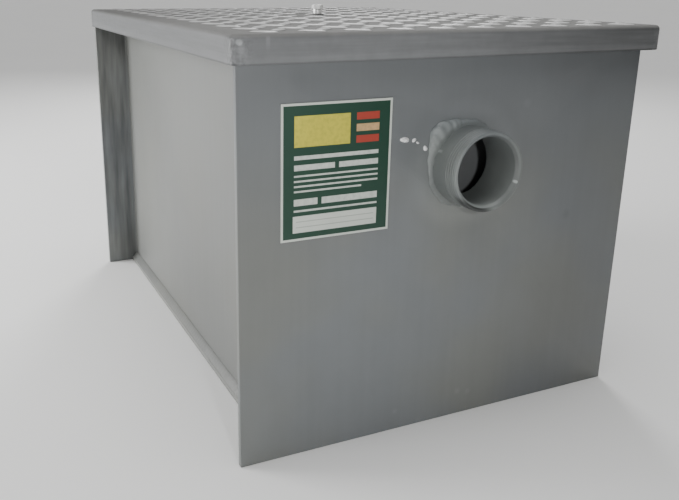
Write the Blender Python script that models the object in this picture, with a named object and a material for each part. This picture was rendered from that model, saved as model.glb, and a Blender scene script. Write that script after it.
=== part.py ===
"""Steel grease trap: a welded tank with pipe stubs at both ends, baffles that lift out and a bolted tread plate cover.

Metres, +Z up. X runs across the tank, Y from the inlet end (-Y) to the outlet end (+Y). The origin is on the
floor, under the middle of the cover. The cover hangs further over the tank on the right (+X) than on the left.
"""

import math

import bpy
from mathutils import Vector
from mathutils.geometry import delaunay_2d_cdt

# Tank shell
TANK_LENGTH = 0.6096
END_PLATE_WIDTH = 0.45085
END_PLATE_THICKNESS = 0.00635
COVER_TOP_HEIGHT = 0.4051
BODY_SETBACK = 0.045
WALL_THICKNESS = 0.0048
WALL_BEND_RADIUS = 0.004
FLOOR_THICKNESS = 0.0064
FLOOR_LEDGE = 0.0076
RIM_BAR_WIDTH = 0.025

# Cover and its seal
COVER_THICKNESS = 0.0032
COVER_LIP_DEPTH = 0.0252
COVER_BEND_RADIUS = 0.0045
COVER_CORNER_RADIUS = 0.0105
COVER_SLACK_LEFT = 0.001
COVER_SLACK_RIGHT = 0.0189
COVER_SLACK_END = 0.0032
GASKET_THICKNESS = 0.003
GASKET_WIDTH = 0.022
GASKET_INSET = 0.003

# Raised lugs of the tread plate
LUG_LENGTH = 0.0285
LUG_WIDTH = 0.0105
LUG_HEIGHT = 0.0016
LUG_PITCH = 0.0445
LUG_EDGE_MARGIN = 0.001
LUG_SIDE_SHIFT = 0.0185

# Hold-down bolt, its collar and washer, and the bar below the cover
BOLT_DIAMETER = 0.0079
BOLT_HEAD_ACROSS_FLATS = 0.0127
BOLT_HEAD_HEIGHT = 0.0053
BOLT_TIP_LENGTH = 0.006
BOLT_HOLE_PLAY = 0.0008
COLLAR_DIAMETER = 0.0112
COLLAR_HEIGHT = 0.0062
SEAL_WASHER_DIAMETER = 0.0165
SEAL_WASHER_THICKNESS = 0.0015
BAR_WIDTH = 0.038
BAR_THICKNESS = 0.0064
BAR_DROP = 0.0127
NUT_HEIGHT = 0.0067

# Pipe stubs
NIPPLE_DIAMETER = 0.078
NIPPLE_WALL = 0.0062
NIPPLE_REACH = 0.038
NIPPLE_INSIDE = 0.0035
NIPPLE_AXIS_DROP = 0.1286
NIPPLE_OFFSET = 0.01095
NIPPLE_EDGE_CHAMFER = 0.0012
WELD_LEG = 0.0105

# Baffles and their guides
BAFFLE_THICKNESS = 0.0032
BAFFLE_STANDOFF = 0.045
BAFFLE_HEADROOM = 0.02
BAFFLE_FLOW_HEIGHT = 0.055
BAFFLE_LEG_WIDTH = 0.032
BAFFLE_GRIP_DIAMETER = 0.022
BAFFLE_GRIP_DEPTH = 0.026
BAFFLE_GRIP_SPACING = 0.14
GUIDE_SHEET = 0.002
GUIDE_DEPTH = 0.014
GUIDE_HEADROOM = 0.034
GUIDE_PLAY = 0.0005

# Data label on the inlet end
LABEL_WIDTH = 0.1105
LABEL_HEIGHT = 0.1245
LABEL_THICKNESS = 0.0006
LABEL_MARGIN = 0.0404
LABEL_DROP = 0.0591

# Gap left between pieces that touch
CLEARANCE = 0.0003

# Facets round a pipe, a bolt hole, a quarter bend and a corner of the cover
PIPE_FACETS = 48
SMALL_FACETS = 20
BEND_FACETS = 4
CORNER_FACETS = 4

# Places that follow from the sizes above
COVER_WIDTH = END_PLATE_WIDTH + COVER_SLACK_LEFT + COVER_SLACK_RIGHT + 2 * COVER_THICKNESS
TANK_AXIS = (COVER_SLACK_LEFT - COVER_SLACK_RIGHT) / 2
SHELL_END = TANK_LENGTH / 2 + END_PLATE_THICKNESS
COVER_END = SHELL_END + COVER_SLACK_END + COVER_THICKNESS
GASKET_TOP = COVER_TOP_HEIGHT - COVER_THICKNESS - CLEARANCE
RIM_TOP = GASKET_TOP - GASKET_THICKNESS - CLEARANCE
BODY_HALF_WIDTH = END_PLATE_WIDTH / 2 - BODY_SETBACK
CHAMBER_HALF_WIDTH = BODY_HALF_WIDTH - WALL_THICKNESS
FLOOR_TOP = FLOOR_THICKNESS + CLEARANCE
BOLT_CLEAR_RADIUS = BOLT_DIAMETER / 2 + BOLT_HOLE_PLAY
WASHER_BASE = COVER_TOP_HEIGHT + CLEARANCE
COLLAR_BASE = WASHER_BASE + SEAL_WASHER_THICKNESS + CLEARANCE
HEAD_BASE = COLLAR_BASE + COLLAR_HEIGHT + CLEARANCE
BAR_TOP = RIM_TOP - BAR_DROP
NUT_TOP = BAR_TOP - BAR_THICKNESS - CLEARANCE
NIPPLE_AXIS = TANK_AXIS + NIPPLE_OFFSET
NIPPLE_AXIS_HEIGHT = COVER_TOP_HEIGHT - NIPPLE_AXIS_DROP
BAFFLE_PLANE = TANK_LENGTH / 2 - NIPPLE_INSIDE - BAFFLE_STANDOFF
BAFFLE_HALF_WIDTH = CHAMBER_HALF_WIDTH - GUIDE_SHEET - 2 * CLEARANCE
BAFFLE_TOP = RIM_TOP - BAFFLE_HEADROOM
GUIDE_TOP = RIM_TOP - GUIDE_HEADROOM
GUIDE_HALF_SLOT = BAFFLE_THICKNESS / 2 + GUIDE_PLAY
LABEL_TOP = COVER_TOP_HEIGHT - LABEL_DROP


def clear_scene():
    for obj in list(bpy.data.objects):
        bpy.data.objects.remove(obj, do_unlink=True)


def material(name, colour, roughness, metallic=0.0):
    made = bpy.data.materials.new(name)
    made.use_nodes = True
    shader = made.node_tree.nodes["Principled BSDF"]
    shader.inputs["Base Color"].default_value = (*colour, 1.0)
    shader.inputs["Roughness"].default_value = roughness
    shader.inputs["Metallic"].default_value = metallic
    return made


def place(name, vertices, faces, finish, smooth_angle=None):
    """A new object from vertices and faces. Round pieces are shaded smooth up to smooth_angle."""
    mesh = bpy.data.meshes.new(name)
    mesh.from_pydata([tuple(v) for v in vertices], [], faces)
    mesh.validate()
    mesh.materials.append(finish)
    if smooth_angle is not None:
        mesh.shade_smooth()
        mesh.set_sharp_from_angle(angle=math.radians(smooth_angle))
    obj = bpy.data.objects.new(name, mesh)
    bpy.context.scene.collection.objects.link(obj)
    return obj


def rectangle(low_u, low_v, high_u, high_v):
    return [(low_u, low_v), (high_u, low_v), (high_u, high_v), (low_u, high_v)]


def circle(centre_u, centre_v, radius, facets):
    """Points round a circle, anticlockwise."""
    turn = 2 * math.pi / facets
    return [
        (centre_u + radius * math.cos(i * turn), centre_v + radius * math.sin(i * turn))
        for i in range(facets)
    ]


def hexagon(across_flats):
    return circle(0, 0, across_flats / math.sqrt(3), 6)


def filled(outline, holes):
    """Triangles that fill the outline apart from its holes. Returns every point and the triangles, anticlockwise."""
    points = list(outline)
    loops = [list(range(len(outline)))]
    for hole in holes:
        loops.append(list(range(len(points), len(points) + len(hole))))
        points += hole
    result = delaunay_2d_cdt([Vector(p) for p in points], [], loops, 1, 1e-7)
    source, faces, owners = result[3], result[2], result[5]
    triangles = []
    for face, owner in zip(faces, owners):
        if set(owner) == {0}:
            triangles.append([source[i][0] for i in face])
    return points, triangles, loops


def slab(outline, holes, low, high, along):
    """A flat plate: the outline with its holes, from low to high. along(u, v, w) gives each point its place,
    and turns the plate's own right-handed axes into the object's."""
    points, triangles, loops = filled(outline, holes)
    count = len(points)
    vertices = [along(u, v, low) for u, v in points] + [along(u, v, high) for u, v in points]
    faces = [[c, b, a] for a, b, c in triangles]
    faces += [[a + count, b + count, c + count] for a, b, c in triangles]
    for number, loop in enumerate(loops):
        ring = loop if number == 0 else loop[::-1]
        for start, end in zip(ring, ring[1:] + ring[:1]):
            faces.append([start, end, end + count, start + count])
    return vertices, faces


def lying(u, v, w):
    """A plate that lies flat: u is X, v is Y, w is Z."""
    return (u, v, w)


def facing_inlet(u, v, w):
    """A plate that stands across the tank: u is X, v is Z, w is minus Y."""
    return (u, -w, v)


def along_tank(u, v, w):
    """A section in X and Z that is carried along minus Y."""
    return (u, -w, v)


def turned(profile, facets, along):
    """A closed profile of (radius, distance) pairs, anticlockwise with the axis on its left, turned round the axis."""
    rings = len(profile)
    vertices = []
    for radius, distance in profile:
        vertices += [along(u, v, distance) for u, v in circle(0, 0, radius, facets)]
    faces = []
    for ring in range(rings):
        after = (ring + 1) % rings
        for i in range(facets):
            j = (i + 1) % facets
            faces.append([ring * facets + i, ring * facets + j, after * facets + j, after * facets + i])
    return vertices, faces


def arc(centre_u, centre_v, radius, start, end, facets):
    """Points on an arc from start to end, in degrees, both ends included."""
    step = math.radians(end - start) / facets
    first = math.radians(start)
    return [
        (centre_u + radius * math.cos(first + i * step), centre_v + radius * math.sin(first + i * step))
        for i in range(facets + 1)
    ]


def mirrored(outline, axis):
    """The outline on the other side of u = axis, still anticlockwise."""
    return [(2 * axis - u, v) for u, v in reversed(outline)]


def rounded_rectangle(half_u, half_v, radius):
    """A rectangle round the origin with an arc at each corner, anticlockwise."""
    along_u, along_v = half_u - radius, half_v - radius
    centres = [(along_u, along_v), (-along_u, along_v), (-along_u, -along_v), (along_u, -along_v)]
    points = []
    for quarter, (u, v) in enumerate(centres):
        points += arc(u, v, radius, 90 * quarter, 90 * (quarter + 1), CORNER_FACETS)
    return points


def make_end_plate(name, outer_face, finish):
    """A flat plate across one end. It stands out past the side walls and has a hole for the pipe stub."""
    half = END_PLATE_WIDTH / 2
    outline = rectangle(TANK_AXIS - half, 0, TANK_AXIS + half, RIM_TOP)
    hole = circle(NIPPLE_AXIS, NIPPLE_AXIS_HEIGHT, NIPPLE_DIAMETER / 2 + CLEARANCE, PIPE_FACETS)
    low, high = sorted((outer_face, outer_face - math.copysign(END_PLATE_THICKNESS, outer_face)))
    return place(name, *slab(outline, [hole], -high, -low, facing_inlet), finish)


def side_wall_section():
    """The right-hand wall as one folded sheet: upright, then bent outwards into the flange that carries the cover."""
    inner = TANK_AXIS + CHAMBER_HALF_WIDTH
    outer = TANK_AXIS + BODY_HALF_WIDTH
    edge = TANK_AXIS + END_PLATE_WIDTH / 2
    bend_u = outer + WALL_BEND_RADIUS
    bend_v = RIM_TOP - WALL_THICKNESS - WALL_BEND_RADIUS
    under = arc(bend_u, bend_v, WALL_BEND_RADIUS, 180, 90, BEND_FACETS)
    over = arc(bend_u, bend_v, WALL_BEND_RADIUS + WALL_THICKNESS, 90, 180, BEND_FACETS)
    return [(inner, FLOOR_TOP), (outer, FLOOR_TOP), *under, (edge, RIM_TOP - WALL_THICKNESS), (edge, RIM_TOP), *over]


def make_side_wall(name, section, finish):
    half = TANK_LENGTH / 2 - CLEARANCE
    return place(name, *slab(section, [], -half, half, along_tank), finish, 40)


def make_floor_plate(finish):
    half_width = BODY_HALF_WIDTH + FLOOR_LEDGE
    half_length = TANK_LENGTH / 2 - CLEARANCE
    outline = rectangle(TANK_AXIS - half_width, -half_length, TANK_AXIS + half_width, half_length)
    return place("floor_plate", *slab(outline, [], 0, FLOOR_THICKNESS, lying), finish)


def make_rim_bar(name, side, finish):
    """A flat bar inside an end plate. It closes the rim between the two side flanges."""
    half = CHAMBER_HALF_WIDTH - CLEARANCE
    near = TANK_LENGTH / 2 - CLEARANCE
    low, high = sorted((side * near, side * (near - RIM_BAR_WIDTH)))
    outline = rectangle(TANK_AXIS - half, low, TANK_AXIS + half, high)
    return place(name, *slab(outline, [], RIM_TOP - WALL_THICKNESS, RIM_TOP, lying), finish)


def make_gasket(finish):
    half_width = END_PLATE_WIDTH / 2 - GASKET_INSET
    half_length = SHELL_END - GASKET_INSET
    outline = rectangle(TANK_AXIS - half_width, -half_length, TANK_AXIS + half_width, half_length)
    hole = rectangle(
        TANK_AXIS - half_width + GASKET_WIDTH,
        -half_length + GASKET_WIDTH,
        TANK_AXIS + half_width - GASKET_WIDTH,
        half_length - GASKET_WIDTH,
    )
    return place("gasket", *slab(outline, [hole], RIM_TOP + CLEARANCE, GASKET_TOP, lying), finish)


def lug_outline(centre_u, centre_v, angle):
    """The foot of one lug: a pointed lens of eight points, drawn along angle."""
    long, wide = LUG_LENGTH / 2, LUG_WIDTH / 2
    shape = [(1, 0), (0.6, 0.72), (0, 1), (-0.6, 0.72), (-1, 0), (-0.6, -0.72), (0, -1), (0.6, -0.72)]
    cos, sin = math.cos(angle), math.sin(angle)
    return [
        (centre_u + s * long * cos - t * wide * sin, centre_v + s * long * sin + t * wide * cos)
        for s, t in shape
    ]


def lug_ridge(centre_u, centre_v, angle):
    """The two ends of a lug's crest."""
    reach = 0.28 * LUG_LENGTH
    along_u, along_v = reach * math.cos(angle), reach * math.sin(angle)
    return [(centre_u + along_u, centre_v + along_v), (centre_u - along_u, centre_v - along_v)]


def lug_places():
    """Centres and angles of the lugs. Rows half a pitch apart are staggered, and turn their lugs the other way. The
    first row lies against the bend at the inlet end."""
    keep_in = COVER_BEND_RADIUS + LUG_EDGE_MARGIN + LUG_LENGTH / 2 * math.cos(math.radians(45)) + LUG_WIDTH / 4
    reach_u = COVER_WIDTH / 2 - keep_in
    reach_v = COVER_END - keep_in
    clear_of_bolt = SEAL_WASHER_DIAMETER / 2 + LUG_LENGTH / 2
    row_gap = LUG_PITCH / 2
    rows = int(2 * reach_v / row_gap)
    columns = int(2 * reach_u / row_gap)
    found = []
    for row in range(rows + 1):
        for column in range(-columns, columns + 1):
            u, v = LUG_SIDE_SHIFT + column * row_gap, row * row_gap - reach_v
            if (row + column) % 2 or abs(u) > reach_u:
                continue
            if math.hypot(u - TANK_AXIS, v) > clear_of_bolt:
                found.append((u, v, math.radians(45 if row % 2 else -45)))
    return found


def corner_room(slack_u, slack_v):
    """The largest radius inside a corner of the cover at which the square corner of the tank still stays clear of it.
    The tank's corner lies slack_u and slack_v inside the two faces that meet there."""
    clear = 2 * CLEARANCE
    reach = slack_u + slack_v - clear
    return max(reach + math.sqrt(max(reach**2 - slack_u**2 - slack_v**2 + clear**2, 0)), CLEARANCE)


def make_cover(finish):
    """Tread plate folded down on four sides, its corners welded and dressed round. The top is one surface with a
    lens-shaped lug at each lattice point; the folded lip is a set of rounded rectangles, each a step further round
    the bend and back up inside."""
    top = COVER_TOP_HEIGHT
    bend, sheet = COVER_BEND_RADIUS, COVER_THICKNESS
    inner_bend = max(bend - sheet, CLEARANCE)
    half_width = COVER_WIDTH / 2
    outside = COVER_CORNER_RADIUS
    inside = min(outside, sheet + corner_room(COVER_SLACK_LEFT, COVER_SLACK_END))

    def ring(inset, corner):
        return rounded_rectangle(half_width - inset, COVER_END - inset, max(corner - inset, CLEARANCE))

    bolt_hole = circle(TANK_AXIS, 0, BOLT_CLEAR_RADIUS, SMALL_FACETS)
    lugs = lug_places()
    feet = [lug_outline(*lug) for lug in lugs]
    points, triangles, loops = filled(ring(bend, outside), [bolt_hole, *feet])
    vertices = [(u, v, top) for u, v in points]
    faces = list(triangles)
    for lug, foot in zip(lugs, loops[2:]):
        front, back = len(vertices), len(vertices) + 1
        vertices += [(u, v, top + LUG_HEIGHT) for u, v in lug_ridge(*lug)]
        a, b, c, d, e, f, g, h = foot
        faces += [[a, b, front], [b, c, front], [d, e, back], [e, f, back], [g, h, front], [h, a, front]]
        faces += [[c, d, back], [c, back, front], [f, g, back], [back, g, front]]

    steps = [(bend - bend * math.sin(t), top - bend + bend * math.cos(t), outside) for t in quarter_turns()[1:]]
    steps.append((0, top - COVER_LIP_DEPTH, outside))
    steps.append((sheet, top - COVER_LIP_DEPTH, inside))
    room = sheet + inner_bend
    steps += [
        (room - inner_bend * math.sin(t), top - room + inner_bend * math.cos(t), inside)
        for t in reversed(quarter_turns())
    ]
    last = loops[0]
    count = len(last)
    for inset, height, corner in steps:
        following = list(range(len(vertices), len(vertices) + count))
        vertices += [(u, v, height) for u, v in ring(inset, corner)]
        for i in range(count):
            j = (i + 1) % count
            faces.append([last[j], last[i], following[i], following[j]])
        last = following
    under_points, under_triangles, under_loops = filled(ring(room, inside), [bolt_hole])
    start = len(vertices)
    vertices += [(u, v, top - sheet) for u, v in under_points[count:]]
    under_index = last + list(range(start, start + len(bolt_hole)))
    faces += [[under_index[c], under_index[b], under_index[a]] for a, b, c in under_triangles]
    hole_top = loops[1]
    hole_under = [under_index[i] for i in under_loops[1]]
    for i in range(len(bolt_hole)):
        j = (i + 1) % len(bolt_hole)
        faces.append([hole_top[i], hole_top[j], hole_under[j], hole_under[i]])
    return place("cover", vertices, faces, finish, 20)


def quarter_turns():
    return [math.radians(90 * i / BEND_FACETS) for i in range(BEND_FACETS + 1)]


def at_bolt(u, v, w):
    return (TANK_AXIS + u, v, w)


def make_bolt(finish):
    """Hexagon head, with its corners chamfered above, and a shank down through the cover, bar and nut."""
    tip = NUT_TOP - NUT_HEIGHT - BOLT_TIP_LENGTH
    shank = BOLT_DIAMETER / 2
    chamfer = BOLT_HEAD_HEIGHT / 5
    head = HEAD_BASE + BOLT_HEAD_HEIGHT
    rings = [
        (circle(0, 0, shank * 0.7, 6), tip),
        (circle(0, 0, shank, 6), tip + shank * 0.3),
        (circle(0, 0, shank, 6), HEAD_BASE),
        (hexagon(BOLT_HEAD_ACROSS_FLATS), HEAD_BASE),
        (hexagon(BOLT_HEAD_ACROSS_FLATS), head - chamfer),
        (hexagon(BOLT_HEAD_ACROSS_FLATS * 0.86), head),
    ]
    return place("hold_down_bolt", *lofted(rings, at_bolt), finish)


def lofted(rings, along):
    """Rings with equal numbers of points, joined in turn and closed at both ends."""
    count = len(rings[0][0])
    vertices = [along(u, v, height) for ring, height in rings for u, v in ring]
    faces = [list(reversed(range(count)))]
    for level in range(len(rings) - 1):
        base = level * count
        for i in range(count):
            j = (i + 1) % count
            faces.append([base + i, base + j, base + count + j, base + count + i])
    top = (len(rings) - 1) * count
    faces.append(list(range(top, top + count)))
    return vertices, faces


def make_washer(name, diameter, base, height, finish):
    outline = circle(TANK_AXIS, 0, diameter / 2, SMALL_FACETS)
    hole = circle(TANK_AXIS, 0, BOLT_DIAMETER / 2 + CLEARANCE, SMALL_FACETS)
    return place(name, *slab(outline, [hole], base, base + height, lying), finish, 40)


def make_hold_down_bar(finish):
    """A flat bar welded across the tank under the cover, with the bolt's clearance hole."""
    half = CHAMBER_HALF_WIDTH - CLEARANCE
    outline = rectangle(TANK_AXIS - half, -BAR_WIDTH / 2, TANK_AXIS + half, BAR_WIDTH / 2)
    hole = circle(TANK_AXIS, 0, BOLT_CLEAR_RADIUS, SMALL_FACETS)
    return place("hold_down_bar", *slab(outline, [hole], BAR_TOP - BAR_THICKNESS, BAR_TOP, lying), finish)


def make_nut(finish):
    outline = [(TANK_AXIS + u, v) for u, v in hexagon(BOLT_HEAD_ACROSS_FLATS)]
    hole = circle(TANK_AXIS, 0, BOLT_DIAMETER / 2 + CLEARANCE, SMALL_FACETS)
    return place("hold_down_nut", *slab(outline, [hole], NUT_TOP - NUT_HEIGHT, NUT_TOP, lying), finish)


def nipple_profile():
    """Radius and distance from the tank's middle. The pipe passes through the end plate, and the weld's fillet
    swells round it against the plate's outer face."""
    outer, inner = NIPPLE_DIAMETER / 2, NIPPLE_DIAMETER / 2 - NIPPLE_WALL
    mouth = SHELL_END + NIPPLE_REACH
    tail = TANK_LENGTH / 2 - NIPPLE_INSIDE
    edge = NIPPLE_EDGE_CHAMFER
    foot = SHELL_END + CLEARANCE
    bulge = 0.62 * WELD_LEG
    fillet = [(outer + WELD_LEG, foot), (outer + WELD_LEG, foot + WELD_LEG / 6), (outer + bulge, foot + bulge)]
    fillet += [(outer + WELD_LEG / 6, foot + WELD_LEG), (outer, foot + WELD_LEG)]
    return [
        (inner + edge, tail),
        (outer, tail),
        (outer, foot),
        *fillet,
        (outer, mouth - edge),
        (outer - edge, mouth),
        (inner + edge, mouth),
        (inner, mouth - edge),
        (inner, tail + edge),
    ]


def make_nipple(name, side, finish):
    """A pipe stub with its weld bead. side is -1 at the inlet end and 1 at the outlet end."""

    def along(u, v, w):
        return (NIPPLE_AXIS - side * u, side * w, NIPPLE_AXIS_HEIGHT + v)

    return place(name, *turned(nipple_profile(), PIPE_FACETS, along), finish, 40)


def make_baffle(name, side, finish):
    """A plate that stands on two legs across the tank. Water passes below it, and two holes let it be lifted out."""
    half = BAFFLE_HALF_WIDTH
    gap = half - BAFFLE_LEG_WIDTH
    base = FLOOR_TOP
    flow = base + BAFFLE_FLOW_HEIGHT
    outline = [
        (TANK_AXIS - half, base),
        (TANK_AXIS - gap, base),
        (TANK_AXIS - gap, flow),
        (TANK_AXIS + gap, flow),
        (TANK_AXIS + gap, base),
        (TANK_AXIS + half, base),
        (TANK_AXIS + half, BAFFLE_TOP),
        (TANK_AXIS - half, BAFFLE_TOP),
    ]
    grip_height = BAFFLE_TOP - BAFFLE_GRIP_DEPTH
    grips = [
        circle(TANK_AXIS + hand * BAFFLE_GRIP_SPACING / 2, grip_height, BAFFLE_GRIP_DIAMETER / 2, SMALL_FACETS)
        for hand in (-1, 1)
    ]
    middle = -side * BAFFLE_PLANE
    low, high = middle - BAFFLE_THICKNESS / 2, middle + BAFFLE_THICKNESS / 2
    return place(name, *slab(outline, grips, low, high, facing_inlet), finish)


def make_guide(name, side, hand, finish):
    """A folded channel up the side wall. The baffle's edge slides in its slot."""
    wall = CHAMBER_HALF_WIDTH - CLEARANCE
    back = wall - GUIDE_SHEET
    tip = back - GUIDE_DEPTH
    out = GUIDE_HALF_SLOT + GUIDE_SHEET
    channel = [
        (wall, -out),
        (wall, out),
        (tip, out),
        (tip, GUIDE_HALF_SLOT),
        (back, GUIDE_HALF_SLOT),
        (back, -GUIDE_HALF_SLOT),
        (tip, -GUIDE_HALF_SLOT),
        (tip, -out),
    ]
    section = [(TANK_AXIS + u, side * BAFFLE_PLANE + v) for u, v in channel]
    if hand < 0:
        section = mirrored(section, TANK_AXIS)
    return place(name, *slab(section, [], FLOOR_TOP, GUIDE_TOP, lying), finish)


def make_label(finish):
    left = TANK_AXIS - END_PLATE_WIDTH / 2 + LABEL_MARGIN
    outline = rectangle(left, LABEL_TOP - LABEL_HEIGHT, left + LABEL_WIDTH, LABEL_TOP)
    back = SHELL_END + CLEARANCE
    return place("data_label", *slab(outline, [], back, back + LABEL_THICKNESS, facing_inlet), finish)


def build():
    clear_scene()
    shell = material("shell_enamel", (0.20, 0.21, 0.21), 0.45)
    tread = material("tread_enamel", (0.27, 0.27, 0.26), 0.4)
    inner = material("inner_enamel", (0.10, 0.10, 0.11), 0.55)
    zinc = material("zinc", (0.75, 0.75, 0.73), 0.3, 1.0)
    rubber = material("gasket_rubber", (0.02, 0.02, 0.02), 0.8)
    print_green = material("label_green", (0.02, 0.08, 0.05), 0.4)

    make_end_plate("inlet_end_plate", -SHELL_END, shell)
    make_end_plate("outlet_end_plate", SHELL_END, shell)
    section = side_wall_section()
    make_side_wall("right_side_wall", section, shell)
    make_side_wall("left_side_wall", mirrored(section, TANK_AXIS), shell)
    make_floor_plate(shell)
    make_rim_bar("inlet_rim_bar", -1, shell)
    make_rim_bar("outlet_rim_bar", 1, shell)
    make_gasket(rubber)
    make_cover(tread)
    make_washer("seal_washer", SEAL_WASHER_DIAMETER, WASHER_BASE, SEAL_WASHER_THICKNESS, rubber)
    make_washer("bolt_collar", COLLAR_DIAMETER, COLLAR_BASE, COLLAR_HEIGHT, zinc)
    make_bolt(zinc)
    make_hold_down_bar(inner)
    make_nut(zinc)
    for end, side in (("inlet", -1), ("outlet", 1)):
        make_nipple(f"{end}_nipple", side, shell)
        make_baffle(f"{end}_baffle", side, inner)
        for where, hand in (("left", -1), ("right", 1)):
            make_guide(f"{end}_guide_{where}", side, hand, inner)
    make_label(print_green)


build()
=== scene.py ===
# %% [markdown]
# # A welded steel grease trap, dressed over its frame
#
# The frame holds the trap's solids at their real size. This file gives them the look of the real thing:
# grey enamel over welded plate, a tread plate cover, threaded pipe stubs, weld beads, a printed data label
# and a zinc bolt. Each step says what the piece is, how it could be made, and why this way was chosen.

# %% Load the frame
import math

import bmesh
import bpy
import numpy as np
from mathutils import Matrix, Vector
from mathutils.geometry import delaunay_2d_cdt


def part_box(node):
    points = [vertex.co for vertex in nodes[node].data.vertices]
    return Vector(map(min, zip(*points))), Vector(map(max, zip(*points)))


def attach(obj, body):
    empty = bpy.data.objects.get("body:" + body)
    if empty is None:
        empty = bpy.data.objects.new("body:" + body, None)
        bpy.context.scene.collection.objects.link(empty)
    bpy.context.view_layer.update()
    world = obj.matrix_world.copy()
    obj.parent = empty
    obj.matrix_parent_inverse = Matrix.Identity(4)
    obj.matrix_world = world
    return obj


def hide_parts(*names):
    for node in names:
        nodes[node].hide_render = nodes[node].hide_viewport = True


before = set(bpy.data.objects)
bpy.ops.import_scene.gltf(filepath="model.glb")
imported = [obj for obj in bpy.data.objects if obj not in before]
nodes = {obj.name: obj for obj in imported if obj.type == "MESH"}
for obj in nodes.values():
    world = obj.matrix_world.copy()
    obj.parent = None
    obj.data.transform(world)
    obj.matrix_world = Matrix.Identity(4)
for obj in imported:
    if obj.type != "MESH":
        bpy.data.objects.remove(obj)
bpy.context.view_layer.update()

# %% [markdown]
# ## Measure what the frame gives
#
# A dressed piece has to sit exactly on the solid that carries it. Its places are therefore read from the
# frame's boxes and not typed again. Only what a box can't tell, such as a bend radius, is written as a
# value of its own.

cover_low, cover_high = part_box("cover")
plate_low, plate_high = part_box("inlet_end_plate")
label_low, label_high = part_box("data_label")
wall_low, wall_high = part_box("left_side_wall")
floor_low, floor_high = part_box("floor_plate")

# %% [markdown]
# ## Stand the camera where the photograph was taken
#
# The camera was solved from the measured corners of the box. It stands to the left of the inlet end, a
# little above the cover, and looks down on it. A lens shift puts the picture's centre where the photograph
# was cropped.

# %% Make the camera
IMAGE_WIDTH = 679
IMAGE_HEIGHT = 500
FOCAL_PIXELS = 771.6
LENS_CENTRE_X = 290.0
LENS_CENTRE_Y = 208.1
SENSOR_WIDTH = 36.0
CAMERA_PLACE = (-0.4530, -0.9118, 0.4449)
CAMERA_AZIMUTH = 24.08
CAMERA_PITCH = -16.26
CAMERA_ROLL = 0.33


def make_camera():
    """A camera that looks along +Y, rolled about its own axis, tipped by the pitch and then turned to the
    right."""
    data = bpy.data.cameras.new("photo_camera")
    data.sensor_width = SENSOR_WIDTH
    data.lens = FOCAL_PIXELS * SENSOR_WIDTH / IMAGE_WIDTH
    data.shift_x = (IMAGE_WIDTH / 2 - LENS_CENTRE_X) / IMAGE_WIDTH
    data.shift_y = (LENS_CENTRE_Y - IMAGE_HEIGHT / 2) / IMAGE_WIDTH
    camera = bpy.data.objects.new("photo_camera", data)
    turn = Matrix.Rotation(-math.radians(CAMERA_AZIMUTH), 4, "Z")
    tip = Matrix.Rotation(math.radians(90 + CAMERA_PITCH), 4, "X")
    roll = Matrix.Rotation(math.radians(CAMERA_ROLL), 4, "Z")
    camera.matrix_world = Matrix.Translation(CAMERA_PLACE) @ turn @ tip @ roll
    bpy.context.scene.collection.objects.link(camera)
    bpy.context.scene.camera = camera
    return camera


camera = make_camera()
print("lens in mm:", round(camera.data.lens, 2))
print("shift:", round(camera.data.shift_x, 4), round(camera.data.shift_y, 4))

# %% [markdown]
# ## Shader maths as plain formulas
#
# A finish is a formula in the object's own coordinates: clouds in the paint, rubbed lugs, printed bars.
# Wiring each Math node by hand hides that formula. A small class that wraps a socket lets it be written as
# Python, and one method adds any other node. Every part's mesh holds its place, so Object coordinates are
# metres in the trap's frame.

# %% Wrap a socket and a material
MIX_FACTOR, MIX_A, MIX_B, MIX_RESULT = 0, 6, 7, 2


class Wire:
    """A number that runs through a material's nodes. Formulas on wires and numbers add Math nodes."""

    def __init__(self, finish, socket):
        self.finish = finish
        self.socket = socket

    def math(self, operation, *values, clamp=False):
        settings = {"operation": operation, "use_clamp": clamp}
        return self.finish.node("ShaderNodeMath", settings, dict(enumerate(values)))

    def __add__(self, other):
        return self.math("ADD", self, other)

    def __sub__(self, other):
        return self.math("SUBTRACT", self, other)

    def __rsub__(self, other):
        return self.math("SUBTRACT", other, self)

    def __mul__(self, other):
        return self.math("MULTIPLY", self, other)

    def __truediv__(self, other):
        return self.math("DIVIDE", self, other)

    def __pow__(self, power):
        return self.math("POWER", self, power)

    __radd__ = __add__
    __rmul__ = __mul__

    def at_least(self, other):
        return self.math("MAXIMUM", self, other)

    def at_most(self, other):
        return self.math("MINIMUM", self, other)

    def size(self):
        return self.math("ABSOLUTE", self)

    def whole(self):
        return self.math("FLOOR", self)

    def clipped(self):
        return self.math("ADD", self, 0.0, clamp=True)

    def ramp(self, low, high):
        """0 up to low, 1 from high on, and a smooth rise between. With low above high it falls."""
        ends = {"Value": self, "From Min": low, "From Max": high, "To Min": 0.0, "To Max": 1.0}
        return self.finish.node("ShaderNodeMapRange", {"interpolation_type": "SMOOTHSTEP"}, ends)


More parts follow.
